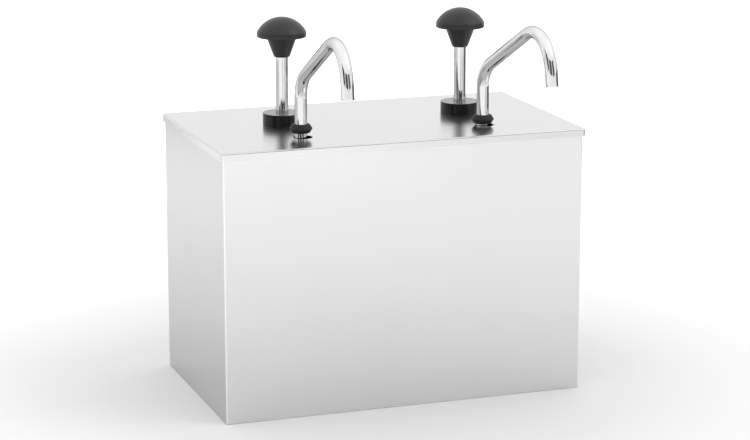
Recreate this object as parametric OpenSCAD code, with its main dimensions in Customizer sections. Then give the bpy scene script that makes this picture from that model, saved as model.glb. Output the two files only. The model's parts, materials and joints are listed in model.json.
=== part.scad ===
// Double sauce pump dispenser: a folded sheet casing that holds two containers,
// under a lift-off lid with two piston pumps and their swivelling spouts.
// Sizes are in millimetres. The origin is the middle of the base, on the table,
// with +X to the right, +Y to the back and +Z up.

/* [Casing] */
// Outside width of the casing
casing_w = 360; // [330:1:420]
// Outside depth of the casing
casing_d = 208; // [195:1:260]
// Height of the casing's walls, up to the underside of the lid
casing_h = 259; // [245:1:320]
// Thickness of the sheet of the casing, the lid and the rails
sheet_t = 1; // [0.8:0.1:1.4]
// Outside radius of the two bends at the casing's front
casing_bend_r = 2; // [1.6:0.1:6]
// Width of the in-turned hem along the casing's top
hem_w = 5; // [3:0.5:7]
// Width of the rear panel's two welding flanges
weld_flange_w = 15; // [8:1:25]
// Height of the base plate's upturned lips
base_lip_h = 12; // [6:1:20]

/* [Lid] */
// Gap between the casing's wall and the lid's skirt
lid_gap = 1.4; // [0.8:0.1:3]
// Height of the lid's skirt, from its lower edge to the lid's top
lid_skirt_h = 7.4; // [5:0.1:12]
// Outside radius of the lid's corners, seen from above
lid_corner_r = 4; // [3:0.5:10]
// Outside radius of the bend along the lid's top edge
lid_bend_r = 1.6; // [1.5:0.1:2.5]

/* [Containers] */
// Room between a container's rim and the casing's hem
container_side_gap = 1; // [0.5:0.5:3]
// Gap between the rims of the two containers
container_middle_gap = 23; // [10:1:40]
// Width of a container's rim
container_rim_w = 10; // [6:0.5:14]
// Inside depth of a container, from the top of its rim to its floor
container_depth = 206; // [170:1:225]
// Thickness of a container's sheet
container_t = 0.8; // [0.6:0.1:1.2]
// Outside radius of a container's upright corners
container_corner_r = 18; // [8:1:40]
// Outside radius between a container's walls and its floor
container_floor_r = 6; // [3:0.5:7.5]
// Drop from the casing's top to the rails that carry the containers
rail_drop = 7; // [5:0.5:20]
// Height of a rail's leg, welded to the wall
rail_leg_h = 14; // [8:1:30]
// Room between a rail's end and the casing's side
rail_end_gap = 8; // [3:1:20]
// Room between a rail's edge and a container's body
rail_clearance = 1; // [0.5:0.5:3]

/* [Plunger] */
// Distance of each pump to the right of its container's middle
pump_shift = 6.5; // [0:0.5:8]
// Turn of each pump about its plunger, clockwise seen from above, in degrees
pump_turn = 3; // [0:0.5:5]
// Distance of the plunger's axis behind the middle of the lid
rod_y = 15; // [0:1:25]
// Diameter of the plunger rod
rod_d = 12; // [10:0.5:14]
// Travel of the plunger when the knob is pressed
stroke = 45; // [30:1:55]
// Room left between the pressed knob and the collar
press_room = 9.7; // [3:0.1:20]
// Diameter of the rod's threaded ends
stud_d = 8; // [6:0.5:9]
// Length of the rod's upper threaded end, inside the knob
knob_stud_l = 16; // [10:1:20]
// Length of the thread left below the piston's nut
stud_tail_l = 2; // [1:0.5:5]
// Width across the flats of the piston's nut
nut_af = 13; // [11:0.5:15]
// Height of the piston's nut
nut_h = 6.5; // [5:0.5:8]
// Thickness of the stop washer under the rod bush
washer_t = 3; // [2:0.5:5]
// Outside diameter of the stop washer
washer_d = 20; // [17:0.5:23]
// Thickness of the stop clip
clip_t = 1.2; // [0.8:0.1:2]
// Outside diameter of the stop clip
clip_d = 18; // [16:0.5:20]
// Depth of the stop clip's groove in the rod
clip_groove = 1; // [0.6:0.1:1.5]

/* [Knob] */
// Diameter of the knob
knob_d = 48; // [40:1:60]
// Height of the dome above the knob's straight rim
knob_dome_h = 14.7; // [10:0.1:18]
// Height of the knob's straight rim
knob_rim_h = 4.6; // [3:0.1:8]
// Height of the groove line between the dome and the rim
knob_line_h = 0.8; // [0.4:0.1:1.5]
// Depth of that groove line
knob_line_depth = 0.5; // [0.3:0.1:1]
// Height of the knob's neck, with its chamfer
knob_neck_h = 19.5; // [14:0.1:25]
// Diameter of the neck where it meets the rim
knob_neck_top_d = 29.7; // [22:0.1:32]
// Diameter of the neck above its chamfer
knob_neck_d = 16.8; // [15.5:0.1:20]
// Height of the chamfer under the neck
knob_chamfer_h = 2; // [1:0.1:4]
// Radial width of the chamfer under the neck
knob_chamfer_w = 0.9; // [0.5:0.1:1]

/* [Collar] */
// Diameter of the lock collar
collar_d = 38; // [36:0.5:46]
// Height of the lock collar
collar_h = 11; // [9:0.1:16]
// Thickness of the collar's top over the rod bush
collar_web_t = 3; // [2:0.1:4]
// Distance of the collar's groove line below its top
collar_line_drop = 1.5; // [1:0.1:2.5]
// Height of the collar's groove line
collar_line_h = 0.6; // [0.4:0.1:1]
// Depth of the collar's groove line
collar_line_depth = 0.4; // [0.2:0.1:0.8]

/* [Pump body] */
// Bore of the pump cylinder
bore_d = 26; // [24:0.5:28]
// Wall of the pump cylinder
cylinder_wall = 2; // [1.5:0.1:2.5]
// Width of the cylinder's flange under the lid
flange_w = 7; // [4:0.5:12]
// Thickness of the cylinder's flange
flange_t = 3; // [2:0.5:5]
// Thickness of the gasket between the flange and the lid
gasket_t = 1.5; // [1:0.1:3]
// Thickness of the rod bush's flange
bush_flange_t = 2; // [1.5:0.1:3]
// Length of the rod bush inside the cylinder
bush_l = 12; // [8:1:20]
// Height of the piston
piston_h = 14; // [12:0.5:20]
// Section of the two piston seals
piston_seal_d = 2.2; // [1.6:0.1:2.6]
// Distance of each piston seal from the piston's nearer end
piston_seal_inset = 3.5; // [2.5:0.1:5]
// Section of the rod wiper and the spout seals
small_seal_d = 2; // [1.5:0.1:2.4]

/* [Spring] */
// Length of the return spring with the knob pressed down
spring_pressed = 40; // [36:1:50]
// Diameter of the spring's wire
spring_wire = 2; // [1.4:0.1:2.4]
// Turns of the spring
spring_turns = 12; // [8:1:14]
// Gap between the closed turns at the spring's ends
spring_end_gap = 0.6; // [0.5:0.1:1]
// Room between the spring and the cylinder's bore
spring_room = 1.75; // [1:0.05:2]

/* [Valve block] */
// Room under the valve block, above the container's floor
foot_gap = 4; // [2:0.5:8]
// Wall of the block around the cylinder's socket
block_wall = 4; // [3:0.5:7]
// Depth of the cylinder's socket
socket_h = 12; // [8:1:18]
// Diameter of the inlet ball
inlet_ball_d = 12; // [11:0.5:13]
// Diameter of the inlet under the ball
inlet_seat_d = 8; // [6:0.5:9]
// Height of the inlet under its seat
inlet_h = 8; // [5:0.5:12]
// Height of the inlet ball's chamber
inlet_chamber_h = 22; // [20:0.5:26]
// Room round the inlet ball
inlet_ball_room = 2; // [1:0.1:2.4]
// Diameter of the outlet ball
outlet_ball_d = 9; // [8:0.1:10]
// Diameter of the opening under the outlet ball
outlet_seat_d = 6.5; // [5:0.1:7]
// Height of the outlet ball's chamber
outlet_chamber_h = 17; // [15.5:0.5:22]
// Lift of both balls
ball_lift = 3; // [2:0.1:3.5]
// Diameter of the pin that stops the inlet ball
inlet_pin_d = 2.5; // [2:0.1:3]
// Diameter of the pin that stops the outlet ball
outlet_pin_d = 2; // [1.5:0.1:2.5]
// Distance of each pin's ends inside the block's surface
pin_inset = 1; // [0.5:0.5:3]
// Diameter of the passage from the inlet to the outlet
passage_d = 8; // [5:0.5:9]
// Wall between the passage and the cylinder's socket
passage_cover = 1; // [0.5:0.1:2]
// Wall of the block around the passage
bridge_wall = 5; // [3:0.5:7]
// Wall between the passage and the outlet's seat
outlet_web = 3; // [2:0.5:5]
// Distance of the passage plug inside the block's surface
plug_inset = 1; // [0.8:0.1:2]

/* [Spout] */
// Distance from the plunger's axis forward to the spout's axis
spout_offset = 71; // [60:1:82]
// Diameter of the spout tube
tube_d = 12; // [11.5:0.1:14]
// Wall of the spout tube
tube_wall = 1; // [0.8:0.1:1.5]
// Width of the ledge in the block that the tube stands on
tube_ledge = 0.5; // [0.3:0.1:0.8]
// Length of the tube inside the valve block
spout_socket_h = 24; // [20:1:40]
// Wall of the block around the tube
boss_wall = 6; // [5:0.5:8]
// Height above the lid where the riser's and the arm's lines cross
spout_knee_h = 54; // [40:0.5:60]
// Bend radius of the knee
spout_knee_r = 29; // [14:0.5:35]
// Rise of the arm above the horizontal, in degrees
spout_arm_rise = 30; // [22:0.5:50]
// Straight length of the arm
spout_arm_l = 74.5; // [50:0.5:90]
// Bend radius at the spout's peak
spout_peak_r = 26.8; // [13:0.1:35]
// Turn at the spout's peak, in degrees
spout_peak_turn = 82.5; // [70:0.5:110]
// Bend radius of the long curve after the peak
spout_drop_r = 52; // [35:1:120]
// Turn of that long curve, in degrees
spout_drop_turn = 30.5; // [10:0.1:40]
// Straight length at the spout's end
spout_tip_l = 10.5; // [3:0.5:20]
// Turn of the left spout at rest, from straight ahead to the right, in degrees
spout_turn_left = 2; // [-30:0.5:45]
// Turn of the right spout at rest, from straight ahead to the right, in degrees
spout_turn_right = 8.5; // [-30:0.5:45]
// Diameter of the spout's hole in the lid
spout_hole_d = 18.5; // [17:0.1:22]
// Shift of that hole to the right of the spout's axis
spout_hole_shift = 2; // [0:0.1:2.2]

/* [Spout ring] */
// Outside diameter of the rubber ring on the spout
ring_d = 22; // [19:0.5:26]
// Height of the ring
ring_h = 8; // [5:0.5:12]
// Height of the flat round the ring's middle
ring_flat_h = 2; // [1:0.1:4]
// Radial width of the ring's bevels
ring_bevel_w = 2.5; // [1.5:0.1:3]
// Height of the left ring above the lid
ring_lift_left = 4.7; // [0.5:0.1:10]
// Height of the right ring above the lid
ring_lift_right = 2; // [0.5:0.1:10]

/* [Fits] */
// Radial clearance of sliding and turning fits
running_fit = 0.05; // [0.02:0.01:0.1]
// Radial clearance of screwed and pressed fits
fixed_fit = 0.03; // [0.01:0.01:0.06]
// Radial clearance of the piston in the cylinder
piston_fit = 0.15; // [0.1:0.01:0.25]
// Radial clearance of the cylinder's neck in the lid
neck_fit = 0.3; // [0.2:0.05:0.6]
// Clearance that the balls, the spring and the seals keep at their seats
seat_gap = 0.1; // [0.05:0.01:0.2]

/* [Hidden] */
$fn = 96;
SIDES = ["left", "right"];
HOUSING_PIECES = ["casing", "rear_panel", "base_plate", "front_rail", "rear_rail", "lid"];
PUMP_PIECES = [
    "container", "knob", "plunger_rod", "stop_washer", "stop_clip", "piston", "piston_seals",
    "piston_nut", "return_spring", "lock_collar", "rod_bush", "rod_wiper", "lid_gasket",
    "pump_cylinder", "valve_block", "inlet_ball", "outlet_ball", "ball_stop_pins",
    "passage_plug", "spout_tube", "spout_seals", "spout_ring"
];

// How far a cutting shape runs past what it cuts
overrun = 1;
// Smallest inside radius left in a bend
least_bend_r = 0.2;
// Sides of the spring wire's section, and its rings in a turn
wire_sides = 6;
turn_rings = 8;

// Plan of the casing, the containers and the pumps
inner_w = casing_w - 2 * sheet_t;
inner_bend_r = max(casing_bend_r - sheet_t, least_bend_r);
back_y = casing_d / 2;
wall_y = back_y - sheet_t;
hem_inset = sheet_t + hem_w;
lid_w = casing_w + 2 * (lid_gap + sheet_t);
lid_d = casing_d + 2 * (lid_gap + sheet_t);
rim_room = hem_inset + container_side_gap;
rim_x = (casing_w - 2 * rim_room - container_middle_gap) / 2;
rim_y = casing_d - 2 * rim_room;
container_x = rim_x - 2 * container_rim_w;
container_y = rim_y - 2 * container_rim_w;
container_mid_x = (container_middle_gap + rim_x) / 2;
spout_y = rod_y - spout_offset;

// Heights at the lid
lid_z = casing_h + sheet_t;
collar_top_z = lid_z + collar_h;
bush_top_z = collar_top_z - collar_web_t;
neck_top_z = bush_top_z - bush_flange_t;
bush_end_z = neck_top_z - bush_l;
washer_z = bush_end_z - washer_t;
clip_z = washer_z - clip_t;
gasket_z = casing_h - gasket_t;
flange_z = gasket_z - flange_t;

// Heights in the container
rail_z = casing_h - rail_drop;
rim_top_z = rail_z + container_t;
floor_z = rim_top_z - container_depth;

// Heights in the valve block
block_z = floor_z + foot_gap;
inlet_seat_z = block_z + inlet_h;
socket_z = inlet_seat_z + inlet_chamber_h;
block_top_z = socket_z + socket_h;
passage_z = socket_z - passage_cover - passage_d / 2;
bridge_z = passage_z - passage_d / 2 - bridge_wall;
outlet_seat_z = passage_z + passage_d / 2 + outlet_web;
tube_end_z = outlet_seat_z + outlet_chamber_h;
boss_top_z = tube_end_z + spout_socket_h;

// Diameters of the pump
cylinder_d = bore_d + 2 * cylinder_wall;
flange_d = cylinder_d + 2 * flange_w;
block_d = cylinder_d + 2 * block_wall;
bridge_w = passage_d + 2 * bridge_wall;
boss_d = tube_d + 2 * boss_wall;
tube_bore = tube_d - 2 * tube_wall;
rod_hole_d = rod_d + 2 * running_fit;
spout_hole_in_block_d = tube_d + 2 * running_fit;
inlet_chamber_d = inlet_ball_d + 2 * inlet_ball_room;
outlet_chamber_d = tube_d - 2 * tube_ledge;

// Places of the balls, resting just above the edges of their seats
inlet_ball_z = inlet_seat_z + seat_height(inlet_ball_d, inlet_seat_d) + seat_gap;
outlet_ball_z = outlet_seat_z + seat_height(outlet_ball_d, outlet_seat_d) + seat_gap;
inlet_pin_z = inlet_ball_z + inlet_ball_d / 2 + ball_lift + seat_gap + inlet_pin_d / 2;
outlet_pin_z = outlet_ball_z + outlet_ball_d / 2 + ball_lift + seat_gap + outlet_pin_d / 2;

// Plunger, drawn with the knob up
spring_rest = spring_pressed + stroke;
piston_z = socket_z + spring_rest;
piston_top_z = piston_z + piston_h;
stud_end_z = piston_z - nut_h - stud_tail_l;
piston_d = bore_d - 2 * piston_fit;
piston_seal_r = bore_d / 2 - running_fit - piston_seal_d / 2;
piston_seal_zs = [piston_z + piston_seal_inset, piston_top_z - piston_seal_inset];
knob_z = collar_top_z + press_room + stroke;
knob_rim_z = knob_z + knob_neck_h;
knob_dome_z = knob_rim_z + knob_rim_h;

// Small seals: the rod wiper lies in the bush, the spout's two in the valve block
wiper_r = rod_d / 2 + running_fit + small_seal_d / 2;
wiper_z = bush_top_z - small_seal_d / 2 - seat_gap;
spout_seal_r = tube_d / 2 + running_fit + small_seal_d / 2;
spout_seal_zs = [tube_end_z + spout_socket_h / 3, tube_end_z + spout_socket_h * 2 / 3];

// Spring: the first and last turns are closed, and those between share the rest of its length
spring_r = bore_d / 2 - spring_room - spring_wire / 2;
spring_z = socket_z + seat_gap + spring_wire / 2;
spring_rise = spring_rest - 2 * seat_gap - spring_wire;
end_pitch = spring_wire + spring_end_gap;
open_pitch = (spring_rise - 2 * end_pitch) / (spring_turns - 2);
spring_points = [for (i = [0 : spring_turns * turn_rings]) wire_point(i / turn_rings)];
spring_self_gap = min([
    for (i = [0 : len(spring_points) - 1], j = [i + turn_rings / 2 : 1 : len(spring_points) - 1])
        norm(spring_points[i] - spring_points[j]) - spring_wire
]);
echo(str("Least gap between the spring's turns: ", spring_self_gap, " mm"));

// Spout, with the thin bands that tie its stretches
tie_l = 0.4;
tie_t = 0.05;
knee_turn = 90 - spout_arm_rise;
riser_l = lid_z + spout_knee_h - spout_knee_r * tan(knee_turn / 2) - tube_end_z;

// Height of a ball's centre above the edge of the round opening that it rests on
function seat_height(ball_d, opening_d) = sqrt(pow(ball_d, 2) - pow(opening_d, 2)) / 2;

// Sign of a side's place along X, and what differs between the two sides
function side_sign(side) = side == "left" ? -1 : 1;
function spout_turn(side) = side == "left" ? spout_turn_left : spout_turn_right;
function ring_lift(side) = side == "left" ? ring_lift_left : ring_lift_right;

// Height of the spring's wire after a number of turns, and its place there
function wire_height(turn) =
    end_pitch * (min(turn, 1) + max(turn - spring_turns + 1, 0))
    + open_pitch * max(min(turn, spring_turns - 1) - 1, 0);
function wire_point(turn) =
    [spring_r * cos(360 * turn), spring_r * sin(360 * turn), spring_z + wire_height(turn)];

// Places of the pieces
module at_container(side) {
    translate([side_sign(side) * container_mid_x, 0, 0]) children();
}

module at_pump(side) {
    at_container(side)
        translate([pump_shift, rod_y, 0])
            rotate(-pump_turn)
                translate([0, -rod_y, 0])
                    children();
}

module at_rod(z = 0) {
    translate([0, rod_y, z]) children();
}

module at_spout(z = 0) {
    translate([0, spout_y, z]) children();
}

// Plain shapes that several pieces share
module disc(d, z, top_z) {
    translate([0, 0, z]) cylinder(d = d, h = top_z - z);
}

module tube(d, bore, z, top_z) {
    difference() {
        disc(d, z, top_z);
        disc(bore, z - overrun, top_z + overrun);
    }
}

module seal(r, section_d, z) {
    translate([0, 0, z])
        rotate_extrude()
            translate([r, 0])
                circle(d = section_d);
}

module seal_groove(r, section_d, z) {
    tube(2 * (r + section_d / 2 + seat_gap), 2 * (r - section_d / 2 - seat_gap),
        z - section_d / 2 - seat_gap, z + section_d / 2 + seat_gap);
}

module rounded_rect(w, d, r) {
    square([w - 2 * r, d], center = true);
    square([w, d - 2 * r], center = true);
    for (x = [-1, 1], y = [-1, 1])
        translate([x * (w / 2 - r), y * (d / 2 - r)])
            circle(r = r);
}

// Half section of a block's edge: upright, then rounded over into the top
module edge_section(reach, h, r) {
    square([reach, h - r]);
    square([reach - r, h]);
    translate([reach - r, h - r])
        intersection() {
            circle(r = r);
            square(r);
        }
}

// A block with upright round corners and a rounded top edge
module rounded_block(w, d, h, corner_r, edge_r) {
    straight_w = w - 2 * corner_r;
    straight_d = d - 2 * corner_r;
    translate([-straight_w / 2, -straight_d / 2, 0])
        cube([straight_w, straight_d, h]);
    for (turn = [0, 180])
        rotate(turn) {
            translate([straight_w / 2, 0, 0])
                rotate([90, 0, 0])
                    linear_extrude(straight_d, center = true)
                        edge_section(corner_r, h, edge_r);
            rotate(90)
                translate([straight_d / 2, 0, 0])
                    rotate([90, 0, 0])
                        linear_extrude(straight_w, center = true)
                            edge_section(corner_r, h, edge_r);
        }
    for (turn = [0 : 90 : 270])
        translate([
            sign(cos(turn + 45)) * straight_w / 2,
            sign(sin(turn + 45)) * straight_d / 2,
            0
        ])
            rotate(turn)
                rotate_extrude(angle = 90)
                    edge_section(corner_r, h, edge_r);
}

// Plan of the casing inside its sheet, with the two front bends
module casing_plan(inset, rear_y, r) {
    w = casing_w - 2 * inset;
    front_y = inset - casing_d / 2;
    translate([-w / 2, front_y + r])
        square([w, rear_y - front_y - r]);
    translate([r - w / 2, front_y])
        square([w - 2 * r, r]);
    for (x = [-1, 1])
        translate([x * (w / 2 - r), front_y + r])
            intersection() {
                circle(r = r);
                translate([-r, -r]) square([2 * r, r]);
            }
}

// Housing
module casing() {
    color("silver") {
        linear_extrude(casing_h)
            difference() {
                casing_plan(0, back_y, casing_bend_r);
                casing_plan(sheet_t, back_y + overrun, inner_bend_r);
            }
        translate([0, 0, casing_h - sheet_t])
            linear_extrude(sheet_t)
                difference() {
                    casing_plan(0, back_y - hem_inset, casing_bend_r);
                    translate([hem_inset - casing_w / 2, hem_inset - casing_d / 2])
                        square([casing_w - 2 * hem_inset, casing_d]);
                }
    }
}

module rear_panel() {
    flange_z0 = sheet_t + base_lip_h;
    color("gainsboro") {
        translate([-inner_w / 2, wall_y, 0])
            cube([inner_w, sheet_t, casing_h]);
        translate([-inner_w / 2, back_y - hem_inset, casing_h - sheet_t])
            cube([inner_w, hem_inset, sheet_t]);
        for (x = [-inner_w / 2, inner_w / 2 - sheet_t])
            translate([x, wall_y - weld_flange_w, flange_z0])
                cube([sheet_t, weld_flange_w + sheet_t, casing_h - sheet_t - flange_z0]);
    }
}

module base_plate() {
    corner_r = inner_bend_r + sheet_t;
    color("darkgray")
        difference() {
            linear_extrude(base_lip_h)
                casing_plan(sheet_t, wall_y, corner_r);
            translate([0, 0, sheet_t])
                linear_extrude(base_lip_h)
                    casing_plan(2 * sheet_t, wall_y - sheet_t, inner_bend_r);
        }
}

module rail() {
    l = inner_w - 2 * rail_end_gap;
    edge_y = container_y / 2 + rail_clearance;
    translate([-l / 2, -wall_y, rail_z - sheet_t])
        cube([l, wall_y - edge_y, sheet_t]);
    translate([-l / 2, -wall_y, rail_z - rail_leg_h])
        cube([l, sheet_t, rail_leg_h]);
}

module front_rail() {
    color("darkgray") rail();
}

module rear_rail() {
    color("darkgray") rotate(180) rail();
}

module container() {
    body_h = container_depth + container_t;
    inner_x = container_x - 2 * container_t;
    inner_y = container_y - 2 * container_t;
    color("lightgray")
        difference() {
            union() {
                translate([0, 0, rail_z])
                    linear_extrude(container_t)
                        rounded_rect(rim_x, rim_y, container_corner_r);
                translate([0, 0, rim_top_z])
                    mirror([0, 0, 1])
                        rounded_block(container_x, container_y, body_h,
                            container_corner_r, container_floor_r);
            }
            translate([0, 0, rim_top_z + overrun])
                mirror([0, 0, 1])
                    rounded_block(inner_x, inner_y, container_depth + overrun,
                        container_corner_r - container_t, container_floor_r - container_t);
        }
}

module lid() {
    skirt_z = lid_z - lid_skirt_h;
    inside_bend_r = max(lid_bend_r - sheet_t, least_bend_r);
    color("whitesmoke")
        difference() {
            translate([0, 0, skirt_z])
                rounded_block(lid_w, lid_d, lid_skirt_h, lid_corner_r, lid_bend_r);
            translate([0, 0, skirt_z - overrun])
                rounded_block(lid_w - 2 * sheet_t, lid_d - 2 * sheet_t,
                    lid_skirt_h - sheet_t + overrun, lid_corner_r - sheet_t, inside_bend_r);
            for (side = SIDES)
                at_pump(side) {
                    at_rod()
                        disc(cylinder_d + 2 * neck_fit, skirt_z, lid_z + overrun);
                    at_spout()
                        translate([spout_hole_shift, 0, 0])
                            disc(spout_hole_d, skirt_z, lid_z + overrun);
                }
        }
}

// Plunger
module knob() {
    rim_r = knob_d / 2;
    dome_r = (pow(rim_r, 2) + pow(knob_dome_h, 2)) / (2 * knob_dome_h);
    neck_foot_d = knob_neck_d - 2 * knob_chamfer_w;
    color([0.13, 0.13, 0.14])
        at_rod()
            difference() {
                union() {
                    intersection() {
                        translate([0, 0, knob_dome_z + knob_dome_h - dome_r])
                            sphere(r = dome_r);
                        disc(knob_d, knob_dome_z, knob_dome_z + knob_dome_h + overrun);
                    }
                    disc(knob_d, knob_rim_z, knob_dome_z);
                    translate([0, 0, knob_z + knob_chamfer_h])
                        cylinder(d1 = knob_neck_d, d2 = knob_neck_top_d,
                            h = knob_neck_h - knob_chamfer_h);
                    translate([0, 0, knob_z])
                        cylinder(d1 = neck_foot_d, d2 = knob_neck_d, h = knob_chamfer_h);
                }
                tube(knob_d + overrun, knob_d - 2 * knob_line_depth,
                    knob_dome_z - knob_line_h, knob_dome_z);
                disc(stud_d + 2 * fixed_fit, knob_z - overrun, knob_z + knob_stud_l + seat_gap);
            }
}

module plunger_rod() {
    color("lightsteelblue")
        at_rod() {
            difference() {
                disc(rod_d, piston_top_z, knob_z);
                tube(rod_d + overrun, rod_d - 2 * clip_groove, clip_z, washer_z);
            }
            disc(stud_d, stud_end_z, piston_top_z);
            disc(stud_d, knob_z, knob_z + knob_stud_l);
        }
}

module stop_washer() {
    color("dimgray") at_rod() tube(washer_d, rod_hole_d, washer_z, bush_end_z);
}

module stop_clip() {
    color("slategray")
        at_rod()
            tube(clip_d, rod_d - 2 * clip_groove + 2 * fixed_fit, clip_z, washer_z);
}

module piston() {
    color("ivory")
        at_rod()
            difference() {
                tube(piston_d, stud_d + 2 * fixed_fit, piston_z, piston_top_z);
                for (z = piston_seal_zs)
                    seal_groove(piston_seal_r, piston_seal_d, z);
            }
}

module piston_seals() {
    color("black")
        at_rod()
            for (z = piston_seal_zs)
                seal(piston_seal_r, piston_seal_d, z);
}

module piston_nut() {
    color("slategray")
        at_rod()
            difference() {
                translate([0, 0, piston_z - nut_h])
                    cylinder(d = nut_af / cos(30), h = nut_h, $fn = 6);
                disc(stud_d + 2 * fixed_fit, piston_z - nut_h - overrun, piston_z + overrun);
            }
}

// One wire along the spring's points, with a ring of corners round each point
module return_spring() {
    rings = len(spring_points);
    corners = [
        for (i = [0 : rings - 1], k = [0 : wire_sides - 1])
            let (around = 360 * i / turn_rings, a = 360 * k / wire_sides)
                spring_points[i]
                + spring_wire / 2 * [cos(a) * cos(around), cos(a) * sin(around), sin(a)]
    ];
    sides = [
        for (i = [0 : rings - 2], k = [0 : wire_sides - 1], half = [0, 1])
            let (
                here = i * wire_sides + k,
                beside = i * wire_sides + (k + 1) % wire_sides,
                above = here + wire_sides,
                across = beside + wire_sides
            )
                half == 0 ? [here, beside, across] : [here, across, above]
    ];
    last = (rings - 1) * wire_sides;
    first_cap = [for (k = [1 : wire_sides - 2]) [0, k + 1, k]];
    last_cap = [for (k = [1 : wire_sides - 2]) [last, last + k, last + k + 1]];
    color("lightslategray")
        at_rod()
            polyhedron(points = corners, faces = concat(sides, first_cap, last_cap));
}

// Pump body
module lock_collar() {
    color([0.1, 0.1, 0.1])
        at_rod()
            difference() {
                tube(collar_d, rod_hole_d, lid_z, collar_top_z);
                disc(cylinder_d + 2 * fixed_fit, lid_z - overrun, bush_top_z);
                tube(collar_d + overrun, collar_d - 2 * collar_line_depth,
                    collar_top_z - collar_line_drop - collar_line_h,
                    collar_top_z - collar_line_drop);
            }
}

module rod_bush() {
    color("ivory")
        at_rod()
            difference() {
                union() {
                    disc(cylinder_d, neck_top_z, bush_top_z);
                    disc(bore_d - 2 * fixed_fit, bush_end_z, neck_top_z);
                }
                disc(rod_hole_d, bush_end_z - overrun, bush_top_z + overrun);
                disc(2 * (wiper_r + small_seal_d / 2 + seat_gap),
                    wiper_z - small_seal_d / 2 - seat_gap, bush_top_z + overrun);
            }
}

module rod_wiper() {
    color("black") at_rod() seal(wiper_r, small_seal_d, wiper_z);
}

module lid_gasket() {
    color("gray") at_rod() tube(flange_d, cylinder_d + 2 * neck_fit, gasket_z, casing_h);
}

module pump_cylinder() {
    color("gainsboro")
        at_rod()
            difference() {
                union() {
                    disc(cylinder_d, socket_z, neck_top_z);
                    disc(flange_d, flange_z, gasket_z);
                }
                disc(bore_d, socket_z - overrun, neck_top_z + overrun);
            }
}

// A round pin across the block, square to the passage
module cross_pin(d, l, z) {
    translate([0, 0, z])
        rotate([0, 90, 0])
            cylinder(d = d, h = l, center = true);
}

module valve_block() {
    color("antiquewhite")
        difference() {
            union() {
                at_rod() disc(block_d, block_z, block_top_z);
                at_spout() disc(boss_d, bridge_z, boss_top_z);
                translate([-bridge_w / 2, spout_y, bridge_z])
                    cube([bridge_w, spout_offset, passage_d + 2 * bridge_wall]);
            }
            at_rod() {
                disc(inlet_seat_d, block_z - overrun, inlet_seat_z + overrun);
                disc(inlet_chamber_d, inlet_seat_z, socket_z + overrun);
                disc(cylinder_d + 2 * fixed_fit, socket_z, block_top_z + overrun);
                cross_pin(inlet_pin_d + 2 * fixed_fit, block_d + overrun, inlet_pin_z);
            }
            at_spout() {
                disc(outlet_seat_d, passage_z, outlet_seat_z + overrun);
                disc(outlet_chamber_d, outlet_seat_z, tube_end_z + overrun);
                disc(spout_hole_in_block_d, tube_end_z, boss_top_z + overrun);
                for (z = spout_seal_zs)
                    seal_groove(spout_seal_r, small_seal_d, z);
                cross_pin(outlet_pin_d + 2 * fixed_fit, boss_d + overrun, outlet_pin_z);
            }
            at_rod(passage_z)
                rotate([90, 0, 0])
                    cylinder(d = passage_d, h = spout_offset + boss_d);
        }
}

module inlet_ball() {
    color("lightsteelblue") at_rod(inlet_ball_z) sphere(d = inlet_ball_d);
}

module outlet_ball() {
    color("lightsteelblue") at_spout(outlet_ball_z) sphere(d = outlet_ball_d);
}

module ball_stop_pins() {
    color("slategray") {
        at_rod() cross_pin(inlet_pin_d, block_d - 2 * pin_inset, inlet_pin_z);
        at_spout() cross_pin(outlet_pin_d, boss_d - 2 * pin_inset, outlet_pin_z);
    }
}

module passage_plug() {
    plug_l = (boss_d - outlet_chamber_d) / 2 - plug_inset;
    color("dimgray")
        translate([0, spout_y - outlet_chamber_d / 2, passage_z])
            rotate([90, 0, 0])
                cylinder(d = passage_d - 2 * fixed_fit, h = plug_l);
}

// Spout
// A thin band that ties a stretch of tube to the one before it
module tie(d) {
    disc(d + 2 * tie_t, -tie_l / 2, tie_l / 2);
}

module straight(d, l) {
    tie(d);
    disc(d, 0, l);
}

// A round bend that starts upwards and turns towards +X, open by a hair at both ends
module bend(d, r, turn) {
    hair = asin(tie_l / (4 * r));
    tie(d);
    translate([r, 0, 0])
        rotate([90, 0, 0])
            rotate(180 - turn + hair)
                rotate_extrude(angle = turn - 2 * hair)
                    translate([r, 0])
                        circle(d = d);
}

module after_bend(r, turn) {
    translate([r * (1 - cos(turn)), 0, r * sin(turn)])
        rotate([0, turn, 0])
            children();
}

// The spout's route as a solid of one diameter, longer at both ends by the extra length
module spout_route(d, extra) {
    disc(d, -extra, riser_l);
    translate([0, 0, riser_l]) {
        bend(d, spout_knee_r, knee_turn);
        after_bend(spout_knee_r, knee_turn) {
            straight(d, spout_arm_l);
            translate([0, 0, spout_arm_l]) {
                bend(d, spout_peak_r, spout_peak_turn);
                after_bend(spout_peak_r, spout_peak_turn) {
                    bend(d, spout_drop_r, spout_drop_turn);
                    after_bend(spout_drop_r, spout_drop_turn)
                        straight(d, spout_tip_l + extra);
                }
            }
        }
    }
}

module spout_tube(side) {
    color("lightsteelblue")
        at_spout(tube_end_z)
            rotate(spout_turn(side) + pump_turn - 90)
                difference() {
                    spout_route(tube_d, 0);
                    spout_route(tube_bore, overrun);
                }
}

module spout_seals() {
    color("black")
        at_spout()
            for (z = spout_seal_zs)
                seal(spout_seal_r, small_seal_d, z);
}

module spout_ring(side) {
    bore_r = tube_d / 2 + fixed_fit;
    edge_r = ring_d / 2;
    color([0.16, 0.16, 0.16])
        at_spout(lid_z + ring_lift(side))
            rotate_extrude()
                polygon([
                    [bore_r, 0],
                    [edge_r - ring_bevel_w, 0],
                    [edge_r, (ring_h - ring_flat_h) / 2],
                    [edge_r, (ring_h + ring_flat_h) / 2],
                    [edge_r - ring_bevel_w, ring_h],
                    [bore_r, ring_h]
                ]);
}

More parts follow.
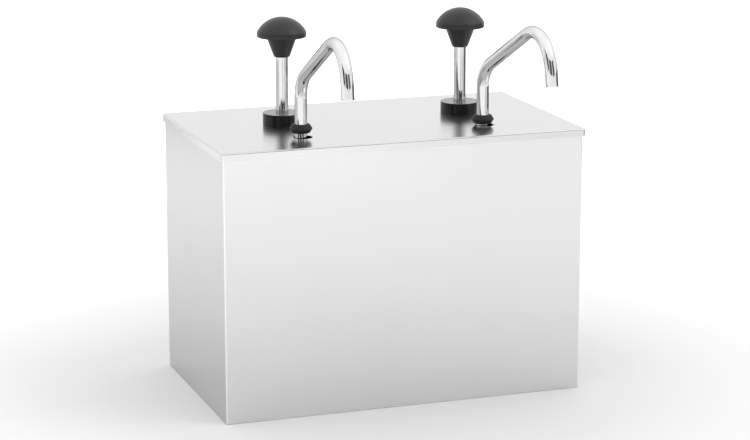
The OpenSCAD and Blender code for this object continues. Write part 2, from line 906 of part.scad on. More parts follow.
casing();
rear_panel();
base_plate();
front_rail();
rear_rail();
lid();

for (side = SIDES) {
    at_container(side) container();
    at_pump(side) {
        knob();
        plunger_rod();
        stop_washer();
        stop_clip();
        piston();
        piston_seals();
        piston_nut();
        return_spring();
        lock_collar();
        rod_bush();
        rod_wiper();
        lid_gasket();
        pump_cylinder();
        valve_block();
        inlet_ball();
        outlet_ball();
        ball_stop_pins();
        passage_plug();
        spout_tube(side);
        spout_seals();
        spout_ring(side);
    }
}
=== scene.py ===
import json
import math

import bmesh
import bpy
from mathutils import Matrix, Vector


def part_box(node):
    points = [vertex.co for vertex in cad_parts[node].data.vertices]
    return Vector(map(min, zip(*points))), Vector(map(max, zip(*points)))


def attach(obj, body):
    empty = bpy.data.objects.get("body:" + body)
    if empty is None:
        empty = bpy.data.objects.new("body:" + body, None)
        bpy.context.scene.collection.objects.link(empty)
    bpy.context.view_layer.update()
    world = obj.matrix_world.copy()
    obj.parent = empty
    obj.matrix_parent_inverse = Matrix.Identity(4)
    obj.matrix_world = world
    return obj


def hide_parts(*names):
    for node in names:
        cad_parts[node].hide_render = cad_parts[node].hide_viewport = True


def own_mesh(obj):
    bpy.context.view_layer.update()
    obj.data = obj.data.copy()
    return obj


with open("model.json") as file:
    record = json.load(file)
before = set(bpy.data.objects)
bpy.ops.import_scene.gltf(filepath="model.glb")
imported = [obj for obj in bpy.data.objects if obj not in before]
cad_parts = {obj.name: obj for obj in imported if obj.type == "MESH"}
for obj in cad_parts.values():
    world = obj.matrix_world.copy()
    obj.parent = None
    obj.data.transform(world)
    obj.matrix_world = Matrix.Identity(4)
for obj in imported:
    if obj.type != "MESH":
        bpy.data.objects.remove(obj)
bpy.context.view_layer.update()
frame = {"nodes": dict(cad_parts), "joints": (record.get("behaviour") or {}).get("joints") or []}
nodes = frame["nodes"]
joints = {joint["name"]: joint for joint in frame["joints"]}
scene = bpy.context.scene
sides = ("left", "right")
mm = 0.001
noiseSpan = (0.3, 0.7)  # nearly all of a noise's values lie between these
mixFactor, mixFrom, mixTo, mixResult = 0, 6, 7, 2  # a Mix node's sockets when it mixes colours
print("frame loaded:", len(nodes), "nodes")


def linear(code):  # sRGB hex to a linear colour
    parts = [int(code[i:i + 2], 16) / 255 for i in (1, 3, 5)]
    return [c / 12.92 if c <= 0.04045 else ((c + 0.055) / 1.055) ** 2.4 for c in parts] + [1.0]


def addNode(tree, kind, inputs=None, **settings):
    node = tree.nodes.new(kind)
    for key, value in settings.items():
        setattr(node, key, value)
    for key, value in (inputs or {}).items():
        if isinstance(value, bpy.types.NodeSocket):
            tree.links.new(value, node.inputs[key])
        else:
            node.inputs[key].default_value = value
    return node


def startMaterial(name, **surface):
    material = bpy.data.materials.new(name)
    material.use_nodes = True
    tree = material.node_tree
    shader = tree.nodes["Principled BSDF"]
    for key, value in surface.items():
        shader.inputs[key.replace("_", " ")].default_value = value
    place = addNode(tree, "ShaderNodeTexCoord")
    return material, tree, shader, place


# Cold-rolled stainless sheet: a soft, even sheen with no brush lines, only the faint cloud of a wiped
# surface, and a painted highlight down each front fold: a bright line painted into the colour there
satinSheet = {"light": "#DADADA", "dark": "#D5D5D4", "edge": "#E3E3E3", "cloud": 85, "grain": 1.6,
              "sheen": (0.27, 0.34), "paintedFoldHighlight": "#EDEDED", "foldHighlightIn": (1.15, 0.75)}
# The same sheet bright-annealed: near-mirror close to what stands on it, softer with distance,
# and painted lighter round the skirt, a painted highlight in the skirt's colour
brightSheet = {"light": "#C0C0C0", "dark": "#BBBBBB", "edge": "#F8F8F8", "cloud": 60, "grain": 1.2,
               "sheen": (0.19, 0.25), "skirt": "#CFCFCF", "skirtDrop": (0.64, 1.28)}
# Deep-drawn stainless: as satin as the casing, with the press's upright streaks
drawnSheet = {"light": "#DADAD9", "dark": "#CFCFCE", "edge": "#E6E6E6", "cloud": 40, "grain": 1.4,
              "sheen": (0.24, 0.36), "stretch": (1, 1, 0.15)}
# What the sheets share: how much the grain adds to the cloud in their sheen, and a slight waviness
rolledSheet = {"grainShare": 0.3, "sheenSpan": (0.35, 0.95), "wave": 0.05, "waveH": 1.0}


def sheetMaterial(name, look):
    material, tree, shader, place = startMaterial(name, Metallic=1.0, Specular_Tint=linear(look["edge"]))
    spot = addNode(tree, "ShaderNodeSeparateXYZ", {"Vector": place.outputs["Object"]})
    drawn = addNode(tree, "ShaderNodeMapping", {
        "Vector": place.outputs["Object"], "Scale": look.get("stretch", (1, 1, 1))})
    cloud = addNode(tree, "ShaderNodeTexNoise", {
        "Vector": drawn.outputs["Vector"], "Scale": 1 / (look["cloud"] * mm),
        "Detail": 3.0, "Roughness": 0.55})
    grain = addNode(tree, "ShaderNodeTexNoise", {  # pickled grain, about ten times coarser so that it shows
        "Vector": drawn.outputs["Vector"], "Scale": 1 / (look["grain"] * mm), "Detail": 1.0})
    tint = addNode(tree, "ShaderNodeMix", {
        mixFactor: cloud.outputs["Fac"], mixFrom: linear(look["dark"]), mixTo: linear(look["light"])},
        data_type="RGBA")
    grainy = addNode(tree, "ShaderNodeMath", {
        0: grain.outputs["Fac"], 1: rolledSheet["grainShare"], 2: cloud.outputs["Fac"]},
        operation="MULTIPLY_ADD")
    sheen = addNode(tree, "ShaderNodeMapRange", {
        "Value": grainy.outputs["Value"],
        "From Min": rolledSheet["sheenSpan"][0], "From Max": rolledSheet["sheenSpan"][1],
        "To Min": look["sheen"][0], "To Max": look["sheen"][1]})
    ripple = addNode(tree, "ShaderNodeBump", {
        "Height": cloud.outputs["Fac"], "Strength": rolledSheet["wave"],
        "Distance": rolledSheet["waveH"] * mm})
    # Painted highlight: the colour lightened near the casing's two front folds, a bright line painted down
    # each
    if "paintedFoldHighlight" in look:
        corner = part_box("casing")[0]
        begins, full = (inward * mm for inward in look["foldHighlightIn"])
        width = addNode(tree, "ShaderNodeMath", {0: spot.outputs["X"]}, operation="ABSOLUTE")
        bySide = addNode(tree, "ShaderNodeMapRange", {
            "Value": width.outputs["Value"], "From Min": -corner.x - begins, "From Max": -corner.x - full})
        byFront = addNode(tree, "ShaderNodeMapRange", {
            "Value": spot.outputs["Y"], "From Min": corner.y + begins, "From Max": corner.y + full})
        onFold = addNode(tree, "ShaderNodeMath", {
            0: bySide.outputs["Result"], 1: byFront.outputs["Result"]}, operation="MULTIPLY")
        tint = addNode(tree, "ShaderNodeMix", {
            mixFactor: onFold.outputs["Value"], mixFrom: tint.outputs[mixResult],
            mixTo: linear(look["paintedFoldHighlight"])}, data_type="RGBA")
    # Painted highlight: the lid's colour lightened from the bend of its edge downwards, over the skirt
    if "skirt" in look:
        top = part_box("lid")[1].z
        begins, full = (drop * mm for drop in look["skirtDrop"])  # over the bend of the lid's edge
        onSkirt = addNode(tree, "ShaderNodeMapRange", {
            "Value": spot.outputs["Z"], "From Min": top - begins, "From Max": top - full})
        tint = addNode(tree, "ShaderNodeMix", {
            mixFactor: onSkirt.outputs["Result"], mixFrom: tint.outputs[mixResult],
            mixTo: linear(look["skirt"])}, data_type="RGBA")
    tree.links.new(tint.outputs[mixResult], shader.inputs["Base Color"])
    tree.links.new(sheen.outputs["Result"], shader.inputs["Roughness"])
    tree.links.new(ripple.outputs["Normal"], shader.inputs["Normal"])
    return material


# Polished stainless bar and tube: a clear mirror with a breath of polishing haze
polishedBar = {"light": "#CFCFD0", "dark": "#C6C6C7", "edge": "#BEBEBE", "haze": 9, "sheen": (0.035, 0.085)}
# Drawn spring wire: bright, with a slight draw grain
drawnWire = {"light": "#D6D6D5", "dark": "#C4C4C3", "edge": "#E0E0E0", "haze": 4, "sheen": (0.16, 0.26)}


def barMaterial(name, look):
    material, tree, shader, place = startMaterial(name, Metallic=1.0, Specular_Tint=linear(look["edge"]))
    haze = addNode(tree, "ShaderNodeTexNoise", {
        "Vector": place.outputs["Object"], "Scale": 1 / (look["haze"] * mm), "Detail": 4.0, "Roughness": 0.6})
    tint = addNode(tree, "ShaderNodeMix", {
        mixFactor: haze.outputs["Fac"], mixFrom: linear(look["dark"]), mixTo: linear(look["light"])},
        data_type="RGBA")
    sheen = addNode(tree, "ShaderNodeMapRange", {
        "Value": haze.outputs["Fac"], "From Min": noiseSpan[0], "From Max": noiseSpan[1],
        "To Min": look["sheen"][0], "To Max": look["sheen"][1]})
    tree.links.new(tint.outputs[mixResult], shader.inputs["Base Color"])
    tree.links.new(sheen.outputs["Result"], shader.inputs["Roughness"])
    return material


# Moulded black phenolic: satin from a fine spark-eroded mould, a little greyer in cloudy patches
mouldedBlack = {"light": "#252526", "dark": "#1B1B1C", "cloud": 14, "grain": 0.7, "depth": 0.02,
                "sheen": (0.34, 0.46)}
# Black EPDM rubber: matt, with the dusty bloom of a moulded seal
blackRubber = {"light": "#1C1C1C", "dark": "#131313", "cloud": 5, "grain": 0.6, "depth": 0.03,
               "sheen": (0.5, 0.68)}
# Natural acetal: milky white and waxy
whiteAcetal = {"light": "#F1EEE6", "dark": "#E6E2D7", "cloud": 18, "grain": 0.8, "depth": 0.008,
               "sheen": (0.3, 0.42)}
# Grey silicone sheet: soft and matt
greySilicone = {"light": "#B4B8BA", "dark": "#A4A8AA", "cloud": 8, "grain": 0.7, "depth": 0.015,
                "sheen": (0.45, 0.6)}
grainBump = 0.5  # how strongly the mould's grain shows on all four


def mouldedMaterial(name, look, **surface):
    material, tree, shader, place = startMaterial(name, **surface)
    cloud = addNode(tree, "ShaderNodeTexNoise", {
        "Vector": place.outputs["Object"], "Scale": 1 / (look["cloud"] * mm),
        "Detail": 4.0, "Roughness": 0.6})
    grain = addNode(tree, "ShaderNodeTexNoise", {  # a grain of about 0.1 mm, drawn coarser so that it shows
        "Vector": place.outputs["Object"], "Scale": 1 / (look["grain"] * mm), "Detail": 2.0})
    tint = addNode(tree, "ShaderNodeMix", {
        mixFactor: cloud.outputs["Fac"], mixFrom: linear(look["dark"]), mixTo: linear(look["light"])},
        data_type="RGBA")
    sheen = addNode(tree, "ShaderNodeMapRange", {
        "Value": cloud.outputs["Fac"], "From Min": noiseSpan[0], "From Max": noiseSpan[1],
        "To Min": look["sheen"][0], "To Max": look["sheen"][1]})
    bump = addNode(tree, "ShaderNodeBump", {
        "Height": grain.outputs["Fac"], "Strength": grainBump, "Distance": look["depth"] * mm})
    tree.links.new(tint.outputs[mixResult], shader.inputs["Base Color"])
    tree.links.new(sheen.outputs["Result"], shader.inputs["Roughness"])
    tree.links.new(bump.outputs["Normal"], shader.inputs["Normal"])
    return material


# Turned black acetal: glossy black with the lathe's fine rings, which spread a highlight across them,
# and a patchy painted highlight on top, grey painted into the black
turnedBlack = {"light": "#111113", "dark": "#0A0A0B", "paintedTopHighlight": "#666668", "topHighlightDrop": (0.045, 0.009),
               "cloud": 9, "pitch": 0.55, "depth": 0.012, "ringShare": 0.4, "bump": 0.6,
               "sheen": (0.16, 0.27)}


def turnedMaterial(name, look, **surface):
    material, tree, shader, place = startMaterial(name, **surface)
    cloud = addNode(tree, "ShaderNodeTexNoise", {
        "Vector": place.outputs["Object"], "Scale": 1 / (look["cloud"] * mm), "Detail": 3.0})
    along = addNode(tree, "ShaderNodeSeparateXYZ", {"Vector": place.outputs["UV"]})
    rings = addNode(tree, "ShaderNodeMath", {
        0: along.outputs["Y"], 1: math.tau / look["pitch"]}, operation="MULTIPLY")
    wave = addNode(tree, "ShaderNodeMath", {0: rings.outputs["Value"]}, operation="SINE")
    uneven = addNode(tree, "ShaderNodeTexNoise", {  # no two cuts are quite alike
        "Vector": along.outputs["Y"], "Scale": 1 / look["pitch"], "Detail": 2.0})
    height = addNode(tree, "ShaderNodeMath", {
        0: wave.outputs["Value"], 1: look["ringShare"], 2: uneven.outputs["Fac"]}, operation="MULTIPLY_ADD")
    bump = addNode(tree, "ShaderNodeBump", {
        "Height": height.outputs["Value"], "Strength": look["bump"], "Distance": look["depth"] * mm})
    tint = addNode(tree, "ShaderNodeMix", {
        mixFactor: cloud.outputs["Fac"], mixFrom: linear(look["dark"]), mixTo: linear(look["light"])},
        data_type="RGBA")
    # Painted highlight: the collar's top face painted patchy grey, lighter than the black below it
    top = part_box("left_lock_collar")[1].z  # the right collar stands as high
    begins, full = (drop * mm for drop in look["topHighlightDrop"])
    spot = addNode(tree, "ShaderNodeSeparateXYZ", {"Vector": place.outputs["Object"]})
    onTop = addNode(tree, "ShaderNodeMapRange", {
        "Value": spot.outputs["Z"], "From Min": top - begins, "From Max": top - full})
    scuffs = addNode(tree, "ShaderNodeMath", {
        0: onTop.outputs["Result"], 1: uneven.outputs["Fac"]}, operation="MULTIPLY")
    worn = addNode(tree, "ShaderNodeMix", {
        mixFactor: scuffs.outputs["Value"], mixFrom: tint.outputs[mixResult], mixTo: linear(look["paintedTopHighlight"])},
        data_type="RGBA")
    sheen = addNode(tree, "ShaderNodeMapRange", {
        "Value": uneven.outputs["Fac"], "From Min": noiseSpan[0], "From Max": noiseSpan[1],
        "To Min": look["sheen"][0], "To Max": look["sheen"][1]})
    tree.links.new(worn.outputs[mixResult], shader.inputs["Base Color"])
    tree.links.new(sheen.outputs["Result"], shader.inputs["Roughness"])
    tree.links.new(bump.outputs["Normal"], shader.inputs["Normal"])
    return material


finishes = {
    "satin": sheetMaterial("satinStainlessSheet", satinSheet),
    "bright": sheetMaterial("brightAnnealedSheet", brightSheet),
    "drawn": sheetMaterial("deepDrawnStainless", drawnSheet),
    "polished": barMaterial("polishedStainless", polishedBar),
    "wire": barMaterial("springWire", drawnWire),
    "moulded": mouldedMaterial("mouldedPhenolic", mouldedBlack, Specular_IOR_Level=0.3),
    "turned": turnedMaterial("turnedBlackAcetal", turnedBlack, Specular_IOR_Level=0.3),
    "rubber": mouldedMaterial("epdmRubber", blackRubber, Specular_IOR_Level=0.25),
    "acetal": mouldedMaterial("naturalAcetal", whiteAcetal, Subsurface_Weight=0.08),
    "silicone": mouldedMaterial("greySilicone", greySilicone),
}
nodeFinish = {
    "casing": "satin", "rear_panel": "satin", "base_plate": "satin", "front_rail": "satin",
    "rear_rail": "satin", "lid": "bright", "container": "drawn", "knob": "moulded",
    "plunger_rod": "polished", "stop_washer": "rubber", "stop_clip": "wire", "piston": "acetal",
    "piston_seals": "rubber", "piston_nut": "wire", "return_spring": "wire", "lock_collar": "turned",
    "rod_bush": "acetal", "rod_wiper": "rubber", "lid_gasket": "silicone", "pump_cylinder": "acetal",
    "valve_block": "acetal", "inlet_ball": "polished", "outlet_ball": "polished", "ball_stop_pins": "wire",
    "passage_plug": "rubber", "spout_tube": "polished", "spout_seals": "rubber", "spout_ring": "rubber",
}
for name, node in nodes.items():
    piece = name.split("_", 1)[1] if name.split("_")[0] in sides else name
    node.data.materials.clear()
    node.data.materials.append(finishes[nodeFinish[piece]])
print("finishes:", len(finishes))


def addPiece(name, mesh, body, node, finish):
    mesh.materials.clear()
    mesh.materials.append(finishes[finish])
    piece = bpy.data.objects.new(name, mesh)
    scene.collection.objects.link(piece)
    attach(piece, body)
    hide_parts(node)
    return piece


def axisOf(node):  # the middle of a node's box, seen from above
    low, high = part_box(node)
    return (low.x + high.x) / 2, (low.y + high.y) / 2


def rounded(corners, steps=6, most=0.45):  # a closed section's corners, each (r, z, radius), rounded off
    points = []
    for i, (r, z, radius) in enumerate(corners):
        if radius == 0:
            points.append((r, z))
            continue
        before, after = corners[i - 1], corners[(i + 1) % len(corners)]
        toBefore = (before[0] - r, before[1] - z)
        toAfter = (after[0] - r, after[1] - z)
        lengths = math.hypot(*toBefore), math.hypot(*toAfter)
        u = (toBefore[0] / lengths[0], toBefore[1] / lengths[0])
        v = (toAfter[0] / lengths[1], toAfter[1] / lengths[1])
        half = math.acos(max(-1, min(1, u[0] * v[0] + u[1] * v[1]))) / 2
        reach = min(radius / math.tan(half), most * min(lengths))  # neighbours never meet on a stretch
        radius = reach * math.tan(half)
        bisector = (u[0] + v[0], u[1] + v[1])
        scale = radius / math.sin(half) / math.hypot(*bisector)
        middle = (r + bisector[0] * scale, z + bisector[1] * scale)
        first = math.atan2(z + u[1] * reach - middle[1], r + u[0] * reach - middle[0])
        last = math.atan2(z + v[1] * reach - middle[1], r + v[0] * reach - middle[0])
        arc = (last - first + math.pi) % math.tau - math.pi
        points += [(middle[0] + radius * math.cos(first + arc * k / steps),
                    middle[1] + radius * math.sin(first + arc * k / steps)) for k in range(steps + 1)]
    return points


def flatKept(section, near=0.08, short=1.6):  # points near a long stretch's ends keep its smooth shading flat
    points = []
    for (r, z), (nextR, nextZ) in zip(section, section[1:] + section[:1]):
        points.append((r, z))
        length = math.hypot(nextR - r, nextZ - z)
        if length > short and max(r, nextR) > 0:
            points += [(r + (nextR - r) * k, z + (nextZ - z) * k) for k in (near / length, 1 - near / length)]
    return points


def writeMesh(body, mesh):  # faces outward and smooth
    bmesh.ops.recalc_face_normals(body, faces=body.faces)
    for face in body.faces:
        face.smooth = True
    body.to_mesh(mesh)
    body.free()


def turnedMesh(name, outline, axis, steps=160):  # a closed section in millimetres, turned about an axis
    section = flatKept(outline)
    body = bmesh.new()
    unwrap = body.loops.layers.uv.new("turned")  # the turn across, millimetres along the section
    lengths = [0.0]
    for (r, z), (nextR, nextZ) in zip(section, section[1:] + section[:1]):
        lengths.append(lengths[-1] + math.hypot(nextR - r, nextZ - z))
    rings = []
    for r, z in section:
        if r == 0:
            rings.append([body.verts.new((axis[0], axis[1], z * mm))])
            continue
        rings.append([body.verts.new((axis[0] + r * mm * math.cos(math.tau * k / steps),
                                      axis[1] + r * mm * math.sin(math.tau * k / steps), z * mm))
                      for k in range(steps)])
    for i, (here, there) in enumerate(zip(rings, rings[1:] + rings[:1])):
        if len(here) == 1 and len(there) == 1:
            continue
        for k in range(steps):
            around = [(here[k % len(here)], k, i), (here[(k + 1) % steps % len(here)], k + 1, i),
                      (there[(k + 1) % steps % len(there)], k + 1, i + 1), (there[k % len(there)], k, i + 1)]
            around = list({corner[0]: corner for corner in around}.values())
            face = body.faces.new([corner[0] for corner in around])
            for loop, corner in zip(face.loops, around):
                loop[unwrap].uv = (corner[1] / steps, lengths[corner[2]])
    mesh = bpy.data.meshes.new(name)
    writeMesh(body, mesh)
    return mesh


# Knob: a domed cap over a straight rim, on a tapered neck
knob = {"rimR": 24.0, "rimH": 4.6, "domeH": 14.7, "lineH": 0.8, "lineDepth": 0.5, "neckH": 19.5,
        "neckTopR": 14.85, "neckR": 8.4, "chamferH": 2.0, "chamferW": 0.9, "boreR": 4.03, "boreH": 16.1,
        "domeSteps": 28, "domeFrom": 0.93,
        "edges": {"bore": 0.3, "foot": 0.5, "chamfer": 1.0, "neck": 1.2, "rim": 0.8, "lineLip": 0.25,
                  "line": 0.15, "dome": 0.35}}
for side in sides:
    edges = knob["edges"]
    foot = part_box(f"{side}_knob")[0].z / mm
    rim = foot + knob["neckH"]
    dome = rim + knob["rimH"]
    crown = dome + knob["domeH"]
    domeR = (knob["rimR"] ** 2 + knob["domeH"] ** 2) / (2 * knob["domeH"])
    domeAngle = knob["domeFrom"] * math.asin(knob["rimR"] / domeR)  # leaves room for the dome's rounded edge
    lineR = knob["rimR"] - knob["lineDepth"]
    outline = rounded([
        (knob["boreR"], foot + knob["boreH"], 0),
        (knob["boreR"], foot, edges["bore"]),
        (knob["neckR"] - knob["chamferW"], foot, edges["foot"]),
        (knob["neckR"], foot + knob["chamferH"], edges["chamfer"]),
        (knob["neckTopR"], rim, edges["neck"]),
        (knob["rimR"], rim, edges["rim"]),
        (knob["rimR"], dome - knob["lineH"], edges["lineLip"]),
        (lineR, dome - knob["lineH"], edges["line"]),
        (lineR, dome, edges["line"]),
        (knob["rimR"], dome, edges["dome"]),
        (domeR * math.sin(domeAngle), crown - domeR * (1 - math.cos(domeAngle)), 0),
    ])
    for k in range(1, knob["domeSteps"]):
        angle = domeAngle * (1 - k / knob["domeSteps"])
        outline.append((domeR * math.sin(angle), crown - domeR * (1 - math.cos(angle))))
    outline += [(0, crown), (0, foot + knob["boreH"])]
    mesh = turnedMesh(f"{side}Knob", outline, axisOf(f"{side}_knob"))
    addPiece(f"{side}Knob", mesh, f"{side}_plunger", f"{side}_knob", "moulded")

# Lock collar: a turned nut with one groove line under its top edge
collar = {"r": 19.0, "web": 3.0, "lineDrop": 1.5, "lineH": 0.6, "lineDepth": 0.4, "boreR": 15.03,
          "rodR": 6.05,
          "edges": {"rod": 0.3, "top": 0.45, "lineLip": 0.2, "line": 0.12, "foot": 0.35, "inside": 0.2}}
for side in sides:
    edges = collar["edges"]
    foot, top = (corner.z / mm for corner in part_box(f"{side}_lock_collar"))
    line = top - collar["lineDrop"]
    lineR = collar["r"] - collar["lineDepth"]
    outline = rounded([
        (collar["rodR"], top - collar["web"], edges["inside"]),
        (collar["rodR"], top, edges["rod"]),
        (collar["r"], top, edges["top"]),
        (collar["r"], line, edges["lineLip"]),
        (lineR, line, edges["line"]),
        (lineR, line - collar["lineH"], edges["line"]),
        (collar["r"], line - collar["lineH"], edges["lineLip"]),
        (collar["r"], foot, edges["foot"]),
        (collar["boreR"], foot, edges["inside"]),
        (collar["boreR"], top - collar["web"], edges["inside"]),
    ])
    mesh = turnedMesh(f"{side}LockCollar", outline, axisOf(f"{side}_lock_collar"))
    addPiece(f"{side}LockCollar", mesh, "lid_assembly", f"{side}_lock_collar", "turned")

# Spout ring: a rubber ring with bevelled edges and a moulding line round its middle
ring = {"r": 11.0, "flatH": 0.9, "bevel": 2.5, "boreR": 6.03, "flash": 0.25,
        "edges": {"end": 0.5, "flat": 0.15, "flashFoot": 0.1, "flash": 0.2}}
for side in sides:
    edges = ring["edges"]
    foot, top = (corner.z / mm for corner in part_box(f"{side}_spout_ring"))
    middle = (foot + top) / 2
    flatR = ring["r"] - ring["flash"]
    outline = rounded([
        (ring["boreR"], foot, edges["end"]),
        (ring["r"] - ring["bevel"], foot, edges["end"]),
        (flatR, middle - ring["flatH"] / 2, edges["flat"]),
        (flatR, middle - ring["flash"], edges["flashFoot"]),
        (ring["r"], middle, edges["flash"]),
        (flatR, middle + ring["flash"], edges["flashFoot"]),
        (flatR, middle + ring["flatH"] / 2, edges["flat"]),
        (ring["r"] - ring["bevel"], top, edges["end"]),
        (ring["boreR"], top, edges["end"]),
    ])
    mesh = turnedMesh(f"{side}SpoutRing", outline, axisOf(f"{side}_spout_ring"))
    addPiece(f"{side}SpoutRing", mesh, f"{side}_spout", f"{side}_spout_ring", "rubber")
print("turned pieces: knobs, collars and rings")

# One tree sweeps a round section along a path: the spouts and the springs' wire
sweep = bpy.data.node_groups.new("sweepAlongPath", "GeometryNodeTree")
sweep.interface.new_socket("Path", in_out="INPUT", socket_type="NodeSocketGeometry")
sweepInputs = {
    label: sweep.interface.new_socket(label, in_out="INPUT", socket_type=kind).identifier
    for label, kind in (("Radius", "NodeSocketFloat"), ("Sides", "NodeSocketInt"),
                        ("Capped", "NodeSocketBool"), ("Finish", "NodeSocketMaterial"))
}
sweep.interface.new_socket("Swept", in_out="OUTPUT", socket_type="NodeSocketGeometry")
given = addNode(sweep, "NodeGroupInput")
section = addNode(sweep, "GeometryNodeCurvePrimitiveCircle", {
    "Resolution": given.outputs["Sides"], "Radius": given.outputs["Radius"]}, mode="RADIUS")
skin = addNode(sweep, "GeometryNodeCurveToMesh", {
    "Curve": given.outputs["Path"], "Profile Curve": section.outputs["Curve"],
    "Fill Caps": given.outputs["Capped"]})
single = addNode(sweep, "GeometryNodeRealizeInstances", {"Geometry": skin.outputs["Mesh"]})
dressed = addNode(sweep, "GeometryNodeSetMaterial", {
    "Geometry": single.outputs["Geometry"], "Material": given.outputs["Finish"]})
addNode(sweep, "NodeGroupOutput", {"Swept": dressed.outputs["Geometry"]})


def sweptMesh(name, points, radius, sectionSides, capped, finish, sameSpot=1e-7):
    line = bpy.data.curves.new(name + "Path", "CURVE")
    line.dimensions = "3D"
    spline = line.splines.new("POLY")
    spline.points.add(len(points) - 1)
    for point, place in zip(spline.points, points):
        point.co = (*place, 1)
    source = bpy.data.objects.new(name + "Path", line)
    scene.collection.objects.link(source)
    modifier = source.modifiers.new("sweep", "NODES")
    modifier.node_group = sweep
    values = {"Radius": radius, "Sides": sectionSides, "Capped": capped, "Finish": finishes[finish]}
    for label, value in values.items():
        modifier[sweepInputs[label]] = value
    scene.view_layers[0].update()
    graph = bpy.context.evaluated_depsgraph_get()
    mesh = bpy.data.meshes.new_from_object(source.evaluated_get(graph))
    mesh.name = name
    bpy.data.objects.remove(source)
    bpy.data.curves.remove(line)
    body = bmesh.new()
    body.from_mesh(mesh)
    bmesh.ops.remove_doubles(body, verts=body.verts, dist=sameSpot)
    writeMesh(body, mesh)
    return mesh


# Spout: a polished tube bent three times, cut square at its end
spout = {"r": 6.0, "wall": 1.0, "kneeH": 54.0, "kneeR": 29.0, "armRise": 30.0, "armL": 74.5, "peakR": 26.8,
         "peakTurn": 82.5, "dropR": 52.0, "dropTurn": 30.5, "tipL": 10.5, "turn": {"left": 2.0, "right": 8.5},
         "sides": 72, "bendStep": 2.0, "footSteps": 12, "straightSteps": 6,
         "lip": 0.3, "lipSteps": 3, "lipAngle": 50.0}


def spoutLine(foot, lidTop):  # the centre line in millimetres, as reach and height
    kneeTurn = 90 - spout["armRise"]
    kneeFoot = lidTop + spout["kneeH"] - spout["kneeR"] * math.tan(math.radians(kneeTurn / 2))
    steps = spout["footSteps"]
    points = [(0.0, foot + (kneeFoot - foot) * k / steps) for k in range(steps + 1)]
    heading = 90.0
    bends = (
        (spout["kneeR"], kneeTurn, spout["armL"]),
        (spout["peakR"], spout["peakTurn"], 0),
        (spout["dropR"], spout["dropTurn"], spout["tipL"]),
    )
    for radius, turn, straight in bends:
        reach, height = points[-1]
        start = math.radians(heading)
        steps = round(turn / spout["bendStep"])
        for k in range(1, steps + 1):
            end = math.radians(heading - turn * k / steps)
            points.append((reach + radius * (math.sin(start) - math.sin(end)),
                           height + radius * (math.cos(end) - math.cos(start))))
        heading -= turn
        if straight:
            reach, height = points[-1]
            slope = math.radians(heading)
            steps = spout["straightSteps"]
            points += [(reach + straight * math.cos(slope) * k / steps,
                        height + straight * math.sin(slope) * k / steps) for k in range(1, steps + 1)]
    return points


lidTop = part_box("lid")[1].z / mm
for side in sides:
    pivot = joints[f"{side}_swivel"]["pos_m"]
    way = math.radians(spout["turn"][side] - 90)
    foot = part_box(f"{side}_spout_tube")[0].z / mm
    path = [(pivot[0] + reach * mm * math.cos(way), pivot[1] + reach * mm * math.sin(way), height * mm)
            for reach, height in spoutLine(foot, lidTop)]
    mesh = sweptMesh(f"{side}SpoutTube", path, spout["r"] * mm, spout["sides"], False, "polished")
    piece = addPiece(
        f"{side}SpoutTube", mesh, f"{side}_spout", f"{side}_spout_tube", "polished")
    wall = piece.modifiers.new("wall", "SOLIDIFY")
    wall.thickness = spout["wall"] * mm
    wall.offset = -1
    lip = piece.modifiers.new("lip", "BEVEL")
    lip.width = spout["lip"] * mm
    lip.segments = spout["lipSteps"]
    lip.limit_method = "ANGLE"
    lip.angle_limit = math.radians(spout["lipAngle"])

# Return spring: one wire, its end turns closed
spring = {"rest": 85.0, "pressed": 40.0, "wire": 2.0, "turns": 12, "endGap": 0.6, "coilR": 10.25,
          "seatGap": 0.1, "ringsPerTurn": 40, "sides": 14}
for side in sides:
    seat = joints[f"{side}_press"]["deforming_nodes"][0]["fixed_end_z_m"] / mm
    axis = axisOf(f"{side}_knob")
    endPitch = spring["wire"] + spring["endGap"]
    rise = spring["rest"] - 2 * spring["seatGap"] - spring["wire"]
    openPitch = (rise - 2 * endPitch) / (spring["turns"] - 2)
    path = []
    for k in range(spring["turns"] * spring["ringsPerTurn"] + 1):
        turn = k / spring["ringsPerTurn"]
        closed = min(turn, 1) + max(turn - spring["turns"] + 1, 0)
        height = endPitch * closed + openPitch * max(min(turn, spring["turns"] - 1) - 1, 0)
        path.append((axis[0] + spring["coilR"] * mm * math.cos(math.tau * turn),
                     axis[1] + spring["coilR"] * mm * math.sin(math.tau * turn),
                     (seat + spring["seatGap"] + spring["wire"] / 2 + height) * mm))
    mesh = sweptMesh(f"{side}ReturnSpring", path, spring["wire"] / 2 * mm, spring["sides"], True, "wire")
    piece = addPiece(
        f"{side}ReturnSpring", mesh, "lid_assembly", f"{side}_return_spring", "wire")
    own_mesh(piece)
print("swept pieces: spouts and springs")

# Camera: the photograph's angle and lens, for an image of 750 by 440; the focal length is in its pixels
view = {"place": (-0.7795, -2.2212, 0.7178), "yaw": -19.438, "pitch": 13.327, "focal": 2452.6, "imageW": 750,
        "sensor": 36, "clip": (0.05, 100)}
cameraData = bpy.data.cameras.new("camera")
cameraData.sensor_width = view["sensor"]
cameraData.sensor_fit = "HORIZONTAL"
cameraData.lens = view["focal"] * view["sensor"] / view["imageW"]
cameraData.clip_start, cameraData.clip_end = view["clip"]
camera = bpy.data.objects.new("camera", cameraData)
scene.collection.objects.link(camera)
camera.location = view["place"]
camera.rotation_euler = (math.radians(90 - view["pitch"]), 0, math.radians(view["yaw"]))
scene.camera = camera
